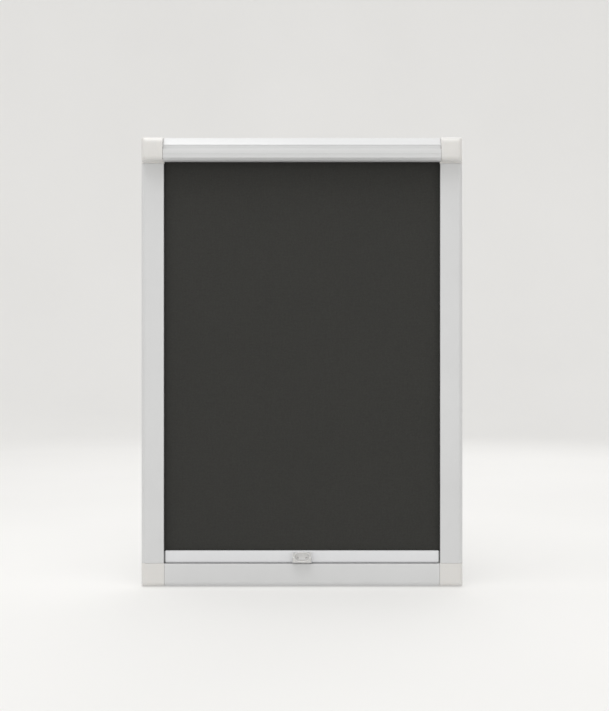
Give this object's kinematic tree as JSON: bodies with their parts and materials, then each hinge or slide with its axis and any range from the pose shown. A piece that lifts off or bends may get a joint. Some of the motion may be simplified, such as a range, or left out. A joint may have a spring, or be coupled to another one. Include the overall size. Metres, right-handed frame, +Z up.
{
  "type": "roller blind",
  "caption": "Spring roller blind in a clip-in window frame: slim cassette, side channels and bottom rail, with dark blackout fabric lowered on a sliding hem bar with a finger pull.",
  "frame": {"origin": "on the plane of the window sash, at the middle of the frame's lower edge", "axes": "+Z up, +Y into the window, away from the room, +X to the right seen from the room"},
  "size_m": [0.528, 0.052, 0.733],
  "materials": {
    "coated_aluminium": "satin white-grey powder coat on extruded aluminium",
    "moulded_plastic": "fine satin moulded plastic, slightly warm white",
    "blackout_fabric": "dull charcoal plain-woven blackout cloth",
    "bare_aluminium": "drawn tube, satin",
    "plated_steel": "zinc plated",
    "spring_steel": "oiled spring steel",
    "black_nylon": "moulded nylon",
    "natural_acetal": "moulded acetal"
  },
  "bodies": {
    "frame": {"cassette_housing": "coated_aluminium", "cassette_front_cover": "coated_aluminium", "left_end_cap": "moulded_plastic", "right_end_cap": "moulded_plastic", "left_side_channel": "coated_aluminium", "right_side_channel": "coated_aluminium", "bottom_rail": "coated_aluminium", "bottom_left_corner": "moulded_plastic", "bottom_right_corner": "moulded_plastic", "upper_left_bracket": "plated_steel", "lower_left_bracket": "plated_steel", "upper_right_bracket": "plated_steel", "lower_right_bracket": "plated_steel", "left_corner_side_screw": "plated_steel", "left_corner_rail_screw": "plated_steel", "left_cap_side_screw": "plated_steel", "left_cap_cassette_screw": "plated_steel", "right_corner_side_screw": "plated_steel", "right_corner_rail_screw": "plated_steel", "right_cap_side_screw": "plated_steel", "right_cap_cassette_screw": "plated_steel", "fabric_sheet": "blackout_fabric", "spring_shaft": "plated_steel", "torsion_spring": "spring_steel", "spring_collar": "black_nylon", "shaft_clip": "spring_steel", "idle_pin": "plated_steel"},
    "roller": {"roller_tube": "bare_aluminium", "fabric_roll": "blackout_fabric", "spring_end_plug": "black_nylon", "idle_end_plug": "black_nylon", "idle_bush": "natural_acetal", "spring_anchor": "black_nylon"},
    "hem_bar": {"hem_bar": "coated_aluminium", "fabric_spline": "natural_acetal", "hem_bar_left_guide": "black_nylon", "hem_bar_right_guide": "black_nylon", "left_brake_shoe": "natural_acetal", "right_brake_shoe": "natural_acetal", "left_brake_spring": "spring_steel", "right_brake_spring": "spring_steel", "pull_tab": "moulded_plastic"}
  },
  "joints": [
    {"name": "hem_bar_slide", "type": "slide", "parent": "frame", "child": "hem_bar", "axis": [0, 0, 1], "range_m": [0, 0.63], "deforming": ["fabric_sheet"]},
    {"name": "roller_spin", "type": "hinge", "parent": "frame", "child": "roller", "pos_m": [0, -0.02127, 0.71298], "axis": [1, 0, 0], "range_deg": [0, 3070]}
  ],
  "couplings": [
    {"joint": "roller_spin", "follows": "hem_bar_slide", "rad_per_m": 84.83}
  ]
}
